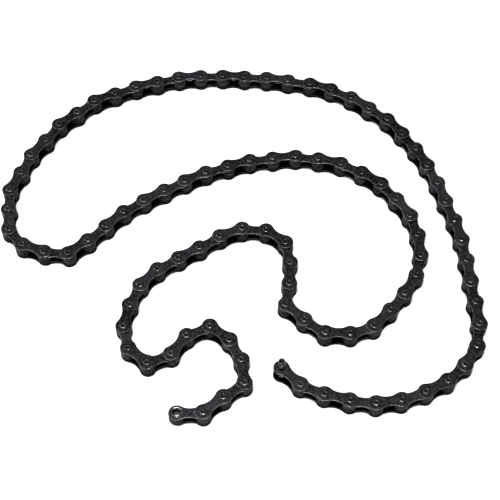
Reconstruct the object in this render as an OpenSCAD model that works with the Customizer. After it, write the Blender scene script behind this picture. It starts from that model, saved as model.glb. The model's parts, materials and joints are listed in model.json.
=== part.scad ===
// Roller chain of 1/2 inch pitch with 96 links, opened at one outer link and lying flat.
// Millimetres, +Z up. The origin is under the middle of the chain's outline, on the
// surface that it lies on. Every pivot axis is vertical.

/* [Chain] */
// Distance from one pin to the next
pitch = 12.7; // [12.6:0.05:13]
// Clear width between the two inner plates
inner_width = 3.3; // [3.1:0.1:3.6]
// Thickness of every plate
plate_thickness = 1.2; // [0.8:0.05:1.3]
// Gap between an inner plate and the outer plate beside it
side_gap = 0.15; // [0.1:0.05:0.3]

/* [Plates] */
// Radius of the round heads of a plate
head_r = 4.1; // [3.9:0.05:4.2]
// Width of a plate at its waist
waist_width = 5; // [4.2:0.1:5.6]

/* [Pins] */
// Radius of the pins
pin_r = 1.8; // [1.7:0.01:1.82]
// How far a pin's end stands out of its outer plate
pin_proud = 0.4; // [0.3:0.1:0.8]
// Bevel round a pin's ends
pin_bevel = 0.25; // [0.1:0.05:0.3]
// How far the joining pin is pushed out of its link
push_out = 6.6; // [4:0.1:7.2]

/* [Bushings and rollers] */
// Inside radius of the bushings
bushing_bore_r = 1.85; // [1.83:0.01:1.88]
// Outside radius of the bushings
bushing_r = 2.5; // [2.4:0.05:2.5]
// Inside radius of the rollers
roller_bore_r = 2.55; // [2.53:0.01:2.6]
// Outside radius of the rollers
roller_r = 3.87; // [3.8:0.01:3.9]
// Bevel round a roller's edges
roller_bevel = 0.25; // [0.1:0.05:0.4]

/* [Hidden] */
$fn = 48;
plate_colour = "#2f2e31";
pin_colour = "#4a494c";
bushing_colour = "#3a393b";
roller_colour = "#434245";

// Play between a pin or a bushing and the plate hole that grips it
grip_gap = 0.02;
// Play between a roller and the plates above and below it
roller_gap = 0.05;
// How far a cutting shape runs past what it cuts
overcut = 0.02;

// Heights from the surface up; a plate's is that of its lower face.
outer_stack = inner_width + 4 * plate_thickness + 2 * side_gap;
pin_length = outer_stack + 2 * pin_proud;
bushing_length = inner_width + 2 * plate_thickness;
roller_length = inner_width - 2 * roller_gap;
outer_low_z = pin_proud;
outer_high_z = pin_length - pin_proud - plate_thickness;
inner_low_z = outer_low_z + plate_thickness + side_gap;
inner_high_z = outer_high_z - plate_thickness - side_gap;
roller_z = inner_low_z + plate_thickness + roller_gap;

// The waist of a plate is cut by a circle on each side that meets both heads.
half_pitch = pitch / 2;
half_waist = waist_width / 2;
waist_r = (pow(half_pitch, 2) + pow(half_waist, 2) - pow(head_r, 2))
    / (2 * (head_r - half_waist));
waist_y = half_waist + waist_r;
waist_start = [half_pitch, waist_y] * head_r / (head_r + waist_r);

// How the chain lies: how many degrees each link turns to the left of the link before it.
first_heading = -44;
turns = [
    // from the open outer link round the right side
    0, 20, 9, 8, 15, 12, 8, 15, 13, 23, 14, 2, -1, 2, 6, 5, -2, 6, 5, 6, 5,
    // along the far side
    13, 2, 10, 9, 8, 2, 5, 1, 4, 4, 10, 1, 8, 1, 19, -2,
    // down the left side and round its tight turn
    17, -3, 14, -2, 25, 4, 33, 29, 17, 44,
    // back across the middle and down again
    5, 1, -11, -3, -2, -3, -8, -1, -11, -1, -14, -6, -15, -8, -16, -5, -18, -12, -17,
    -17, -7, -5,
    // round the inner hook
    -26, -22, -34, -7, -56, 6, 13, 43, 32, 27, 12, -3, 2, 15, 20, 11,
    // the zigzag to the open inner link
    25, 36, 63, 31, -29, -63, -24, -21, -61, 4, -40
];

// The sums of a list's first entry, first two entries, and so on.
function sums(v, i = 0, before = 0) =
    i == len(v) ? [] :
    let (s = i == 0 ? v[0] : before + v[i]) concat([s], sums(v, i + 1, s));

// Link k runs from pin k to pin k + 1 along headings[k - 1].
headings = [for (s = sums(turns)) first_heading + s];
steps = [for (h = headings) pitch * [cos(h), sin(h)]];
route = concat([[0, 0]], sums(steps));
route_x = [for (p = route) p[0]];
route_y = [for (p = route) p[1]];
middle = [min(route_x) + max(route_x), min(route_y) + max(route_y)] / 2;
last_link = len(turns);

// Between the two end links, some bodies are one link and some are a stretch of links
// held at their rest bend. Each entry is a number of bodies and the links in each.
stretches = [
    [10, 1], // the free end
    [8, 4],  // right, far and left side
    [4, 1],  // the tight turn
    [5, 4],  // across the middle
    [1, 3],
    [9, 1],  // the inner hook
    [1, 4],
    [12, 1]  // the zigzag
];
spans = [for (s = stretches) for (i = [1:s[0]]) s[1]];
last_links = [for (s = sums(spans)) 1 + s];
bodies = [for (i = [0:len(spans) - 1]) [last_links[i] - spans[i] + 1, last_links[i]]];

function is_outer(k) = k % 2 == 1;
function two_digits(k) = k < 10 ? str("0", k) : str(k);
function body_name(b) =
    b[0] < b[1] ? str("strand_", two_digits(b[0]), "_", two_digits(b[1])) :
    str(is_outer(b[0]) ? "outer_link_" : "inner_link_", two_digits(b[0]));

// Moves its children to pin k.
module at_pin(k) {
    translate(route[k - 1] - middle) children();
}

// Moves its children to pin k and turns their +X towards pin k + 1.
module along_link(k) {
    at_pin(k) rotate(headings[k - 1]) children();
}

// A ring or disc outline from inside radius a to outside radius b, with its outside
// edges bevelled, turned round the Z axis.
module turned(a, b, height, bevel) {
    rotate_extrude()
    polygon([[a, 0], [b - bevel, 0], [b, bevel], [b, height - bevel],
             [b - bevel, height], [a, height]]);
}

// A link plate with round heads, a waist and two holes, its lower face at z = 0.
module plate(hole_r) {
    color(plate_colour)
    linear_extrude(plate_thickness)
    difference() {
        union() {
            for (x = [0, pitch]) translate([x, 0]) circle(r = head_r);
            translate([waist_start[0], -waist_start[1]])
            square([pitch - 2 * waist_start[0], 2 * waist_start[1]]);
        }
        for (side = [-1, 1])
            translate([half_pitch, side * waist_y]) circle(r = waist_r + overcut, $fn = 96);
        for (x = [0, pitch]) translate([x, 0]) circle(r = hole_r);
    }
}

module outer_plate() {
    plate(pin_r + grip_gap);
}

module inner_plate() {
    plate(bushing_r + grip_gap);
}

module pin() {
    color(pin_colour) turned(0, pin_r, pin_length, pin_bevel);
}

module bushing() {
    color(bushing_colour)
    translate([0, 0, inner_low_z])
    difference() {
        cylinder(r = bushing_r, h = bushing_length);
        translate([0, 0, -overcut])
        cylinder(r = bushing_bore_r, h = bushing_length + 2 * overcut);
    }
}

module roller() {
    color(roller_colour)
    translate([0, 0, roller_z])
    turned(roller_bore_r, roller_r, roller_length, roller_bevel);
}

// Two outer plates riveted on two pins.
module outer_link(k) {
    along_link(k) {
        for (z = [outer_low_z, outer_high_z]) translate([0, 0, z]) outer_plate();
        for (x = [0, pitch]) translate([x, 0, 0]) pin();
    }
}

// Two inner plates pressed on two bushings, each with its roller.
module inner_link(k) {
    along_link(k) {
        for (z = [inner_low_z, inner_high_z]) translate([0, 0, z]) inner_plate();
        for (x = [0, pitch]) translate([x, 0, 0]) {
            bushing();
            roller();
        }
    }
}

// The links of one body between the end links.
module body_links(b) {
    for (k = [b[0]:b[1]])
        if (is_outer(k)) outer_link(k);
        else inner_link(k);
}

module end_outer_plate_lower() {
    along_link(1) translate([0, 0, outer_low_z]) outer_plate();
}

module end_outer_plate_upper() {
    along_link(1) translate([0, 0, outer_high_z]) outer_plate();
}

module end_rivet_pin() {
    at_pin(2) pin();
}

module joining_pin() {
    at_pin(1) translate([0, 0, push_out]) pin();
}

module end_inner_plate_lower() {
    along_link(last_link) translate([0, 0, inner_low_z]) inner_plate();
}

module end_inner_plate_upper() {
    along_link(last_link) translate([0, 0, inner_high_z]) inner_plate();
}

module next_bushing() {
    at_pin(last_link) bushing();
}

module end_bushing() {
    at_pin(last_link + 1) bushing();
}

module next_roller() {
    at_pin(last_link) roller();
}

module end_roller() {
    at_pin(last_link + 1) roller();
}

end_outer_plate_lower();
end_outer_plate_upper();
end_rivet_pin();
joining_pin();
for (b = bodies)
    body_links(b);
end_inner_plate_lower();
end_inner_plate_upper();
next_bushing();
end_bushing();
next_roller();
end_roller();
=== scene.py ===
import json
import math
import random

import bpy
from mathutils import Euler, Matrix, Vector
from mathutils.geometry import tessellate_polygon


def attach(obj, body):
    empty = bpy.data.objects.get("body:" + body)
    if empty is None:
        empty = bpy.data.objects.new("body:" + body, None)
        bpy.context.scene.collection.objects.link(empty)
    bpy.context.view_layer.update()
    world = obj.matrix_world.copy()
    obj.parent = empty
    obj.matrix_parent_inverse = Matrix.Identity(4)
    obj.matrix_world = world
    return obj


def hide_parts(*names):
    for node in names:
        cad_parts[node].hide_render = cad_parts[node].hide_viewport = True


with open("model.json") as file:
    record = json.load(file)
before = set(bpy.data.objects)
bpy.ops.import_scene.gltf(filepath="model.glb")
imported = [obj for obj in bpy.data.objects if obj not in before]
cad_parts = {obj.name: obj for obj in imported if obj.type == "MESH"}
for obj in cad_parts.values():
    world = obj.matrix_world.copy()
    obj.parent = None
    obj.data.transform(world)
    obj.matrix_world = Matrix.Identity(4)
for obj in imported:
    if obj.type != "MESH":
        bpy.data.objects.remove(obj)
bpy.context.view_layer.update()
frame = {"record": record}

# The look of the roller chain: one mesh for each CAD node, riding that node's body.
# Lengths are millimetres, as in the solid model, until build() makes the meshes.
MM = 0.001

# ---- the chain's sizes ---------------------------------------------------------------

PITCH = 12.7
INNER_WIDTH = 3.3
PLATE = 1.2
SIDE_GAP = 0.15
HEAD_R = 4.1
HALF_WAIST = 2.5
PIN_R = 1.8
PIN_PROUD = 0.4
PUSH_OUT = 6.6
BUSHING_BORE_R = 1.85
BUSHING_R = 2.5
ROLLER_BORE_R = 2.55
ROLLER_R = 3.87
GRIP_GAP = 0.02
ROLLER_GAP = 0.05

PIN_LENGTH = INNER_WIDTH + 4 * PLATE + 2 * SIDE_GAP + 2 * PIN_PROUD
OUTER_LOW_Z = PIN_PROUD
OUTER_HIGH_Z = PIN_LENGTH - PIN_PROUD - PLATE
INNER_LOW_Z = OUTER_LOW_Z + PLATE + SIDE_GAP
INNER_HIGH_Z = OUTER_HIGH_Z - PLATE - SIDE_GAP
BUSHING_LENGTH = INNER_WIDTH + 2 * PLATE
ROLLER_Z = INNER_LOW_Z + PLATE + ROLLER_GAP
ROLLER_LENGTH = INNER_WIDTH - 2 * ROLLER_GAP

# ---- how it lies: how many degrees each link turns left of the one before it ---------

FIRST_HEADING = -44
TURNS = [
    # from the open outer link round the right side
    0, 20, 9, 8, 15, 12, 8, 15, 13, 23, 14, 2, -1, 2, 6, 5, -2, 6, 5, 6, 5,
    # along the far side
    13, 2, 10, 9, 8, 2, 5, 1, 4, 4, 10, 1, 8, 1, 19, -2,
    # down the left side and round its tight turn
    17, -3, 14, -2, 25, 4, 33, 29, 17, 44,
    # back across the middle and down again
    5, 1, -11, -3, -2, -3, -8, -1, -11, -1, -14, -6, -15, -8, -16, -5, -18, -12, -17,
    -17, -7, -5,
    # round the inner hook
    -26, -22, -34, -7, -56, 6, 13, 43, 32, 27, 12, -3, 2, 15, 20, 11,
    # the zigzag to the open inner link
    25, 36, 63, 31, -29, -63, -24, -21, -61, 4, -40,
]


def lay_out():
    """The heading of each link, and the place of each pin round the outline's middle."""
    headings, pins = [], [Vector((0, 0))]
    heading = FIRST_HEADING
    for turn in TURNS:
        heading += turn
        angle = math.radians(heading)
        headings.append(angle)
        pins.append(pins[-1] + PITCH * Vector((math.cos(angle), math.sin(angle))))
    xs = [p.x for p in pins]
    ys = [p.y for p in pins]
    middle = Vector((min(xs) + max(xs), min(ys) + max(ys))) / 2
    return headings, [p - middle for p in pins]


HEADINGS, PINS = lay_out()
LINKS = len(HEADINGS)


def at_pin(k, z=0.0):
    """The place of pin k, turned to link k; the last pin takes the last link's turn."""
    place = PINS[k - 1]
    turn = HEADINGS[min(k, LINKS) - 1]
    return Matrix.Translation((place.x, place.y, z)) @ Matrix.Rotation(turn, 4, "Z")


# ---- materials -----------------------------------------------------------------------

(PLATE_FACE, EDGE_WEAR_AND_HIGHLIGHT, PLATE_WALL_PAINTED_SHADE, LOW_EDGE_PAINTED_SHADE, LOW_WALL_PAINTED_SHADE, HOLE_EDGE, PIN_END, PIN_CRATER_PAINTED_SHADE,
 PIN_SHANK, BUSHING, BORE_PAINTED_SHADE, ROLLER) = range(12)


class Nodes:
    """A material's node tree, with short calls to add nodes and links."""

    def __init__(self, name):
        self.material = bpy.data.materials.new(name)
        self.material.use_nodes = True
        self.tree = self.material.node_tree
        self.shader = self.tree.nodes["Principled BSDF"]
        self.place = self.tree.nodes.new("ShaderNodeTexCoord").outputs["Object"]

    def link(self, source, target):
        self.tree.links.new(source, target)

    def noise(self, scale, detail=4.0, roughness=0.55, distortion=0.0):
        """Noise that is still on the object, with scale cells to the metre."""
        node = self.tree.nodes.new("ShaderNodeTexNoise")
        self.link(self.place, node.inputs["Vector"])
        node.inputs["Scale"].default_value = scale
        node.inputs["Detail"].default_value = detail
        node.inputs["Roughness"].default_value = roughness
        node.inputs["Distortion"].default_value = distortion
        return node.outputs["Fac"]

    def attribute(self, name):
        node = self.tree.nodes.new("ShaderNodeAttribute")
        node.attribute_name = name
        return node.outputs["Fac"]

    def spread(self, value, low, high, to_low, to_high):
        """value from low..high, held and moved to to_low..to_high."""
        node = self.tree.nodes.new("ShaderNodeMapRange")
        self.link(value, node.inputs["Value"])
        node.inputs["From Min"].default_value = low
        node.inputs["From Max"].default_value = high
        node.inputs["To Min"].default_value = to_low
        node.inputs["To Max"].default_value = to_high
        return node.outputs["Result"]

    def maths(self, operation, a, b):
        node = self.tree.nodes.new("ShaderNodeMath")
        node.operation = operation
        for socket, value in zip(node.inputs, (a, b)):
            if isinstance(value, (int, float)):
                socket.default_value = value
            else:
                self.link(value, socket)
        return node.outputs["Value"]

    def mix(self, factor, a, b):
        """Colour a where factor is 0, b where it is 1; each is a colour or a socket."""
        node = self.tree.nodes.new("ShaderNodeMix")
        node.data_type = "RGBA"
        self.link(factor, node.inputs["Factor"])
        sockets = [s for s in node.inputs if s.type == "RGBA"]
        for socket, value in zip(sockets, (a, b)):
            if isinstance(value, tuple):
                socket.default_value = (*value, 1.0)
            else:
                self.link(value, socket)
        return [s for s in node.outputs if s.type == "RGBA"][0]

    def bump(self, height, distance, strength=1.0, normal=None):
        node = self.tree.nodes.new("ShaderNodeBump")
        node.inputs["Strength"].default_value = strength
        node.inputs["Distance"].default_value = distance
        self.link(height, node.inputs["Height"])
        if normal is not None:
            self.link(normal, node.inputs["Normal"])
        return node.outputs["Normal"]


def oxide(name, dark, light, wear, metallic, rough, worn_share, shine=0.5, grain=0.00002):
    """Black-oxide steel: mottled tone, oily patches, blasted grain and rubbed spots.
    dark to light is the oxide's own range, made darker as painted shade on walls, lower
    plates, craters and bores and lighter as a painted highlight on the upper edges; wear
    is the colour where it is rubbed off; worn_share widens the rubbed spots, and grain is
    the depth of the grain in metres."""
    n = Nodes(name)
    mottle = n.noise(650, detail=5, roughness=0.65, distortion=0.3)
    grainy = n.noise(5200, detail=3, roughness=0.6)
    oil = n.noise(130, detail=3, roughness=0.5, distortion=0.8)
    rubbed = n.noise(900, detail=6, roughness=0.7)
    pitted = n.noise(1500, detail=4, roughness=0.6)
    # Each piece has a tone of its own, and long stretches lean to a greyer cast.
    shade = n.maths("ADD", n.spread(mottle, 0.42, 0.64, 0.0, 0.8),
                    n.maths("MULTIPLY", n.attribute("tone"), 0.5))
    cast = n.spread(n.noise(22, detail=2), 0.44, 0.56, 0.0, 1.0)
    grey = (light[1],) * 3
    base = n.mix(shade, dark, n.mix(cast, light, grey))
    worn = n.spread(rubbed, 0.66 - worn_share, 0.78 - worn_share * 0.6, 0.0, 0.85)
    matt = n.maths("ADD", n.spread(oil, 0.35, 0.65, rough - 0.09, rough + 0.09),
                   n.spread(grainy, 0.3, 0.7, -0.04, 0.05))
    pits = n.bump(pitted, grain * 1.6, 0.7)
    n.link(n.mix(worn, base, wear), n.shader.inputs["Base Color"])
    n.shader.inputs["Metallic"].default_value = metallic
    n.link(n.spread(mottle, 0.35, 0.65, 0.4 * shine, 1.6 * shine),
           n.shader.inputs["Specular IOR Level"])
    n.link(n.maths("SUBTRACT", matt, n.maths("MULTIPLY", worn, 0.08)),
           n.shader.inputs["Roughness"])
    n.link(n.bump(grainy, grain, 0.8, pits), n.shader.inputs["Normal"])
    return n.material


def make_materials():
    """The materials, in the order of their numbers above."""
    return [
        oxide("plate_face", (0.0002, 0.0002, 0.0002), (0.023, 0.02, 0.025),
              (0.045, 0.041, 0.047), metallic=0.3, rough=0.46, worn_share=0.0,
              shine=0.17, grain=0.0001),
        # Upper plates' edges: rubbed steel, made lighter still as a painted highlight
        # along the edges.
        oxide("plate_edge_wear_and_highlight", (0.032, 0.0304, 0.0336), (0.105, 0.099, 0.109),
              (0.27, 0.26, 0.27), metallic=0.85, rough=0.36, worn_share=0.12),
        # Upper plates' side walls: near black, darker than the faces, as painted shade.
        oxide("plate_wall_painted_shade", (0.0003, 0.0003, 0.0003), (0.005, 0.0046, 0.0054),
              (0.03, 0.028, 0.032), metallic=0.0, rough=0.55, worn_share=0.02,
              shine=0.015),
        # Lower plates' edges: a darker copy of the upper edges, as painted shade under the
        # upper plates.
        oxide("low_edge_painted_shade", (0.005, 0.0047, 0.0053), (0.022, 0.0206, 0.023),
              (0.12, 0.115, 0.125), metallic=0.5, rough=0.42, worn_share=0.06, shine=0.2),
        # Undersides, lower walls, hole walls and the lower plates' top faces: near black,
        # as painted shade under and between the plates.
        oxide("low_wall_painted_shade", (0.0003, 0.00026, 0.00034), (0.0016, 0.0015, 0.0018),
              (0.008, 0.0075, 0.0085), metallic=0.0, rough=0.6, worn_share=0.0,
              shine=0.01),
        oxide("hole_edge", (0.04, 0.039, 0.041), (0.15, 0.147, 0.153), (0.50, 0.49, 0.50),
              metallic=0.9, rough=0.24, worn_share=0.18),
        oxide("pin_end", (0.018, 0.0175, 0.0185), (0.08, 0.0776, 0.0824),
              (0.40, 0.39, 0.40), metallic=0.9, rough=0.28, worn_share=0.12),
        # Pin craters: near black, as painted shade in the pressed recess.
        oxide("pin_crater_painted_shade", (0.0005, 0.0005, 0.0005), (0.003, 0.003, 0.003),
              (0.02, 0.02, 0.02), metallic=0.0, rough=0.45, worn_share=0.0, shine=0.15),
        oxide("pin_shank", (0.04, 0.04, 0.042), (0.10, 0.10, 0.105), (0.32, 0.31, 0.32),
              metallic=0.9, rough=0.30, worn_share=0.10),
        oxide("bushing", (0.006, 0.0058, 0.0062), (0.022, 0.0214, 0.0226),
              (0.20, 0.19, 0.20), metallic=0.7, rough=0.38, worn_share=0.05, shine=0.2),
        # Bores: near black, as painted shade inside the tubes.
        oxide("bore", (0.0005, 0.0005, 0.0005), (0.003, 0.003, 0.003), (0.02, 0.02, 0.02),
              metallic=0.0, rough=0.5, worn_share=0.0, shine=0.1),
        oxide("roller", (0.0008, 0.0007, 0.0009), (0.037, 0.0345, 0.0387),
              (0.13, 0.125, 0.13), metallic=0.0, rough=0.5, worn_share=0.05, shine=0.03),
    ]


# ---- shapes --------------------------------------------------------------------------

class Shape:
    """Rings of points, and faces between them with a material and a shading each."""

    def __init__(self):
        self.points = []
        self.faces = []
        self.slots = []
        self.smooth = []

    def ring(self, points):
        """Adds a closed ring of points and returns their numbers."""
        start = len(self.points)
        self.points += [Vector(p) for p in points]
        return list(range(start, len(self.points)))

    def face(self, corners, slot, smooth):
        self.faces.append(corners)
        self.slots.append(slot)
        self.smooth.append(smooth)

    def bridge(self, below, above, slot):
        """Joins two rings that run the same way. Either may be one point, a pole."""
        steps = max(len(below), len(above))
        for i in range(steps):
            j = (i + 1) % steps
            if len(below) == 1:
                corners = (below[0], above[j], above[i])
            elif len(above) == 1:
                corners = (below[i], below[j], above[0])
            else:
                corners = (below[i], below[j], above[j], above[i])
            self.face(corners, slot, True)


def circle(r, steps, cx=0.0):
    """Points (x, y) round (cx, 0), anticlockwise."""
    turn = [2 * math.pi * i / steps for i in range(steps)]
    return [(cx + r * math.cos(a), r * math.sin(a)) for a in turn]


def lathe(profile, slots, steps):
    """A closed profile of (radius, z) pairs, outside going up, turned round Z.
    slots gives the material of the strip after each pair. Radius 0 makes a pole."""
    shape = Shape()
    rings = []
    for r, z in profile:
        around = circle(r, steps) if r > 0 else [(0, 0)]
        rings.append(shape.ring([(x, y, z) for x, y in around]))
    pairs = list(zip(rings, rings[1:]))
    if profile[0][0] > 0:
        pairs.append((rings[-1], rings[0]))
    for (low, high), slot in zip(pairs, slots):
        shape.bridge(low, high, slot)
    return shape


# Roundings and finish that the solid model leaves out
FINE_ROUNDING = 0.16
BROAD_ROUNDING = 0.26
ROLLED_DOWN = 0.09
ROLLED_WIDTH = 0.75
HOLE_CHAMFER = 0.15
OPEN_HOLE_CHAMFER = 0.45
PIN_RIM_R = PIN_R + 0.12
FLARE_WIDTH = 0.18
FLARE_DEPTH = 0.10
BUSHING_ROUNDING = 0.2
ROLLER_ROUNDING = 0.3

# How many steps each head and waist of a plate's outline takes, and each full circle
HEAD_STEPS = 30
WAIST_STEPS = 9
HOLE_STEPS = 32
PIN_STEPS = 36
TUBE_STEPS = 44

# The circle on each side of a plate that cuts its waist and meets both heads
WAIST_R = ((PITCH / 2) ** 2 + HALF_WAIST ** 2 - HEAD_R ** 2) / (2 * (HEAD_R - HALF_WAIST))
WAIST_Y = HALF_WAIST + WAIST_R


def plate_outline(inset):
    """The plate's outline, drawn in by inset, anticlockwise: two heads and two waists."""
    half = PITCH / 2
    lean = math.atan2(WAIST_Y, half)
    head, waist = HEAD_R - inset, WAIST_R + inset

    def arc(cx, cy, r, start, end, steps):
        angles = [start + (end - start) * i / steps for i in range(steps)]
        return [(cx + r * math.cos(a), cy + r * math.sin(a)) for a in angles]

    return (
        arc(0, 0, head, lean, 2 * math.pi - lean, HEAD_STEPS)
        + arc(half, -WAIST_Y, waist, math.pi - lean, lean, WAIST_STEPS)
        + arc(PITCH, 0, head, lean - math.pi, math.pi - lean, HEAD_STEPS)
        + arc(half, WAIST_Y, waist, -lean, lean - math.pi, WAIST_STEPS)
    )


def link_plate(hole_r, show_up, hole_edge=LOW_WALL_PAINTED_SHADE, chamfer=HOLE_CHAMFER):
    """A stamped link plate with its lower face at z = 0. On an upper plate, one that
    shows up, the punch has rolled the border of the top face down a little and rounded
    that edge more. hole_edge is the material of the chamfers round the holes' top ends."""
    # A lower plate lies under the upper one, so its edge and wall materials are darker
    # copies, painted shade.
    if show_up:
        below, above, rolled = FINE_ROUNDING, BROAD_ROUNDING, ROLLED_DOWN
        edge, wall = EDGE_WEAR_AND_HIGHLIGHT, PLATE_WALL_PAINTED_SHADE
    else:
        below, above, rolled = BROAD_ROUNDING, FINE_ROUNDING, 0.0
        edge, wall = LOW_EDGE_PAINTED_SHADE, LOW_WALL_PAINTED_SHADE
    # Levels of the outline as (inset, z): round the lower edge, then the upper edge
    quarter = [math.pi / 6 * i for i in range(4)]
    levels = [(below * (1 - math.sin(t)), below * (1 - math.cos(t))) for t in quarter]
    levels += [(above * (1 - math.cos(t)), PLATE - rolled - above * (1 - math.sin(t)))
               for t in quarter]
    if show_up:
        levels.append((ROLLED_WIDTH, PLATE))
    # The materials of the strips between the levels, outside and in the holes
    # The lower rounding of every plate and the hole walls under the chamfers take the
    # near-black low wall material, painted shade under and between the plates.
    outside = [LOW_WALL_PAINTED_SHADE] * 3 + [wall] + [edge] * 3 + [PLATE_FACE]
    in_holes = [LOW_WALL_PAINTED_SHADE] * 4 + [hole_edge] * 4
    shape = Shape()

    def hole(cx, inset):
        return circle(hole_r + min(inset, chamfer), HOLE_STEPS, cx)

    loops = [[(x, y, z) for x, y in outline] for inset, z in levels
             for outline in (plate_outline(inset), hole(0, inset), hole(PITCH, inset))]
    rings = [shape.ring(points) for points in loops]
    stacked = [rings[i:i + 3] for i in range(0, len(rings), 3)]
    for low, high, out_slot, hole_slot in zip(stacked, stacked[1:], outside, in_holes):
        shape.bridge(low[0], high[0], out_slot)
        shape.bridge(high[1], low[1], hole_slot)
        shape.bridge(high[2], low[2], hole_slot)
    for rings_there, facing in ((stacked[0], -1), (stacked[-1], 1)):
        # Undersides and the top face of a lower plate are near black, painted shade under
        # the plate above.
        slot = PLATE_FACE if show_up and facing > 0 else LOW_WALL_PAINTED_SHADE
        flat = [[shape.points[i].to_2d().to_3d() for i in ring] for ring in rings_there]
        numbers = [i for ring in rings_there for i in ring]
        for triangle in tessellate_polygon(flat):
            corners = [numbers[i] for i in triangle]
            a, b, c = (shape.points[i] for i in corners)
            if (b - a).cross(c - a).z * facing < 0:
                corners.reverse()
            shape.face(tuple(corners), slot, False)
    return shape


def pin_shape(peened):
    """A pin. A peened one has a low mushroom rim round a pressed crater at each end, and
    a joining pin has plain narrow ends with a groove to break them off at."""
    # An end as (radius, distance from the end), from the middle outwards
    crater = [(0, 0.36), (0.35, 0.34), (0.62, 0.24), (0.78, 0.10), (0.88, 0.03),
              (1.0, 0.0)]
    mushroom = [(1.3, 0.02), (PIN_RIM_R - 0.28, 0.08), (PIN_RIM_R - 0.1, 0.17),
                (PIN_RIM_R, 0.28), (PIN_RIM_R, 0.34), (PIN_R, 0.38)]
    grooved = [(1.3, 0.01), (1.5, 0.08), (1.64, 0.3), (1.64, 1.5), (1.5, 1.7), (1.5, 2.3),
               (PIN_R, 2.6)]
    end = crater + (mushroom if peened else grooved)
    profile = end + [(r, PIN_LENGTH - d) for r, d in reversed(end)]
    # The crater and its inner slope are near black, painted shade in the recess.
    crater_slots = [PIN_CRATER_PAINTED_SHADE] * 4
    slots = crater_slots + [PIN_END] * (len(end) - 1 - len(crater_slots))
    return lathe(profile, slots + [PIN_SHANK] + slots[::-1], PIN_STEPS)


def tube(inside, outside, length, rounding, slot, end_slot):
    """A ring with rounded outside edges, of material end_slot, and a flared bore."""
    quarter = [math.pi / 8 * i for i in range(5)]
    foot = [(outside - rounding + rounding * math.sin(t), rounding * (1 - math.cos(t)))
            for t in quarter]
    head = [(r, length - z) for r, z in reversed(foot)]
    flared = inside + FLARE_WIDTH
    profile = ([(inside, FLARE_DEPTH), (flared, 0)] + foot + head
               + [(flared, length), (inside, length - FLARE_DEPTH)])
    slots = [slot] * 2 + [end_slot] * 4
    # The bore is near black, painted shade inside the tube.
    return lathe(profile, slots + [slot] + slots[::-1] + [BORE_PAINTED_SHADE], TUBE_STEPS)


# Each kind of piece, made once and placed many times
SHAPES = {
    "outer_low": link_plate(PIN_R + GRIP_GAP, False),
    "outer_high": link_plate(PIN_R + GRIP_GAP, True),
    "inner_low": link_plate(BUSHING_R + GRIP_GAP, False),
    "inner_high": link_plate(BUSHING_R + GRIP_GAP, True, HOLE_EDGE, OPEN_HOLE_CHAMFER),
    "pin": pin_shape(True),
    "joining_pin": pin_shape(False),
    "bushing": tube(BUSHING_BORE_R, BUSHING_R, BUSHING_LENGTH, BUSHING_ROUNDING,
                    BUSHING, HOLE_EDGE),
    "roller": tube(ROLLER_BORE_R, ROLLER_R, ROLLER_LENGTH, ROLLER_ROUNDING,
                   ROLLER, ROLLER),
}


# ---- what each link is made of -------------------------------------------------------

def outer_link(k):
    """The shapes in link k and where they go: plates on two pins."""
    return [("outer_low", at_pin(k, OUTER_LOW_Z)),
            ("outer_high", at_pin(k, OUTER_HIGH_Z)),
            ("pin", at_pin(k)), ("pin", at_pin(k + 1))]


def inner_link(k):
    """The shapes in link k and where they go: plates on two bushings with rollers."""
    ends = (k, k + 1)
    return ([("inner_low", at_pin(k, INNER_LOW_Z)),
             ("inner_high", at_pin(k, INNER_HIGH_Z))]
            + [("bushing", at_pin(e, INNER_LOW_Z)) for e in ends]
            + [("roller", at_pin(e, ROLLER_Z)) for e in ends])


END_PIECES = {
    "end_outer_plate_lower": [("outer_low", at_pin(1, OUTER_LOW_Z))],
    "end_outer_plate_upper": [("outer_high", at_pin(1, OUTER_HIGH_Z))],
    "end_rivet_pin": [("pin", at_pin(2))],
    "joining_pin": [("joining_pin", at_pin(1, PUSH_OUT))],
    "end_inner_plate_lower": [("inner_low", at_pin(LINKS, INNER_LOW_Z))],
    "end_inner_plate_upper": [("inner_high", at_pin(LINKS, INNER_HIGH_Z))],
    "next_bushing": [("bushing", at_pin(LINKS, INNER_LOW_Z))],
    "end_bushing": [("bushing", at_pin(LINKS + 1, INNER_LOW_Z))],
    "next_roller": [("roller", at_pin(LINKS, ROLLER_Z))],
    "end_roller": [("roller", at_pin(LINKS + 1, ROLLER_Z))],
}


def contents(node):
    """The shapes in a CAD node. Its name ends in its link, or its first and last."""
    if node in END_PIECES:
        return END_PIECES[node]
    numbers = [int(word) for word in node.split("_") if word.isdigit()]
    made = []
    for k in range(numbers[0], numbers[-1] + 1):
        made += outer_link(k) if k % 2 else inner_link(k)
    return made


def build(node, materials, chance):
    """One mesh object that stands for a CAD node, in the row's frame, in metres."""
    points, faces, slots, smooth, tones = [], [], [], [], []
    for name, place in contents(node):
        shape = SHAPES[name]
        start = len(points)
        points += [place @ p * MM for p in shape.points]
        faces += [[i + start for i in face] for face in shape.faces]
        slots += shape.slots
        smooth += shape.smooth
        tones += [chance.random()] * len(shape.points)
    mesh = bpy.data.meshes.new(node + "_look")
    mesh.from_pydata(points, [], faces)
    for material in materials:
        mesh.materials.append(material)
    mesh.polygons.foreach_set("material_index", slots)
    mesh.polygons.foreach_set("use_smooth", smooth)
    tone = mesh.attributes.new("tone", "FLOAT", "POINT")
    tone.data.foreach_set("value", tones)
    mesh.update()
    piece = bpy.data.objects.new(node + "_look", mesh)
    bpy.context.scene.collection.objects.link(piece)
    return piece


# ---- the object ----------------------------------------------------------------------

TONE_SEED = 12

materials = make_materials()
chance = random.Random(TONE_SEED)
for body, nodes in frame["record"]["behaviour"]["bodies"].items():
    for node in nodes:
        piece = build(node, materials, chance)
        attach(piece, body)
        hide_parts(node)


# ---- floor, light and camera ---------------------------------------------------------

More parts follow.
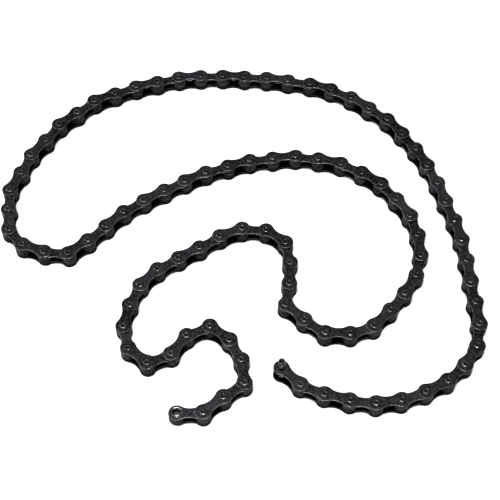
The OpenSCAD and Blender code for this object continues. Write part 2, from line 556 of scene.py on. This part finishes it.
def make_floor():
    """A sheet of matt white paper that runs out of sight."""
    half = 4.0
    corners = [(-half, -half, 0), (half, -half, 0), (half, half, 0), (-half, half, 0)]
    mesh = bpy.data.meshes.new("floor")
    mesh.from_pydata(corners, [], [(0, 1, 2, 3)])
    floor = bpy.data.objects.new("floor", mesh)
    bpy.context.scene.collection.objects.link(floor)
    n = Nodes("paper")
    paper = n.mix(n.noise(9, 3), (0.90, 0.90, 0.90), (0.93, 0.93, 0.93))
    n.link(paper, n.shader.inputs["Base Color"])
    n.shader.inputs["Roughness"].default_value = 0.9
    n.shader.inputs["Specular IOR Level"].default_value = 0.1
    mesh.materials.append(n.material)


def make_light(name, place, size, power):
    """A round lamp of the given diameter in metres and power in watts, aimed at the
    origin."""
    data = bpy.data.lights.new(name, "AREA")
    data.shape = "DISK"
    data.size = size
    data.energy = power
    light = bpy.data.objects.new(name, data)
    light.location = place
    light.rotation_euler = (-Vector(place)).to_track_quat("-Z", "Y").to_euler()
    bpy.context.scene.collection.objects.link(light)


def make_world(strength):
    """Even white light from all round."""
    world = bpy.data.worlds.new("studio")
    world.use_nodes = True
    background = world.node_tree.nodes["Background"]
    background.inputs["Color"].default_value = (1, 1, 1, 1)
    background.inputs["Strength"].default_value = strength
    bpy.context.scene.world = world


def make_camera():
    """Looks along +Y and down at the chain, at a point a little right of and before its
    middle, at half the chain's height."""
    elevation = math.radians(57.5)
    distance = 0.615
    aim = Vector((0.0072, -0.0114, PIN_LENGTH / 2 * MM))
    data = bpy.data.cameras.new("camera")
    data.lens = 84.0
    data.sensor_width = 36
    camera = bpy.data.objects.new("camera", data)
    away = Vector((0, -math.cos(elevation), math.sin(elevation)))
    camera.location = aim + distance * away
    camera.rotation_euler = Euler((math.pi / 2 - elevation, 0, 0))
    bpy.context.scene.collection.objects.link(camera)
    bpy.context.scene.camera = camera


make_floor()
make_world(strength=0.18)
make_light("top", (0, -0.3, 1.46), size=0.36, power=23.5)
make_light("left", (-0.75, -0.3, 0.9), size=0.2, power=5.5)
make_light("window", (-0.95, 0.3, 0.5), size=0.2, power=4.5)
make_camera()
bpy.context.scene.view_settings.view_transform = "Standard"
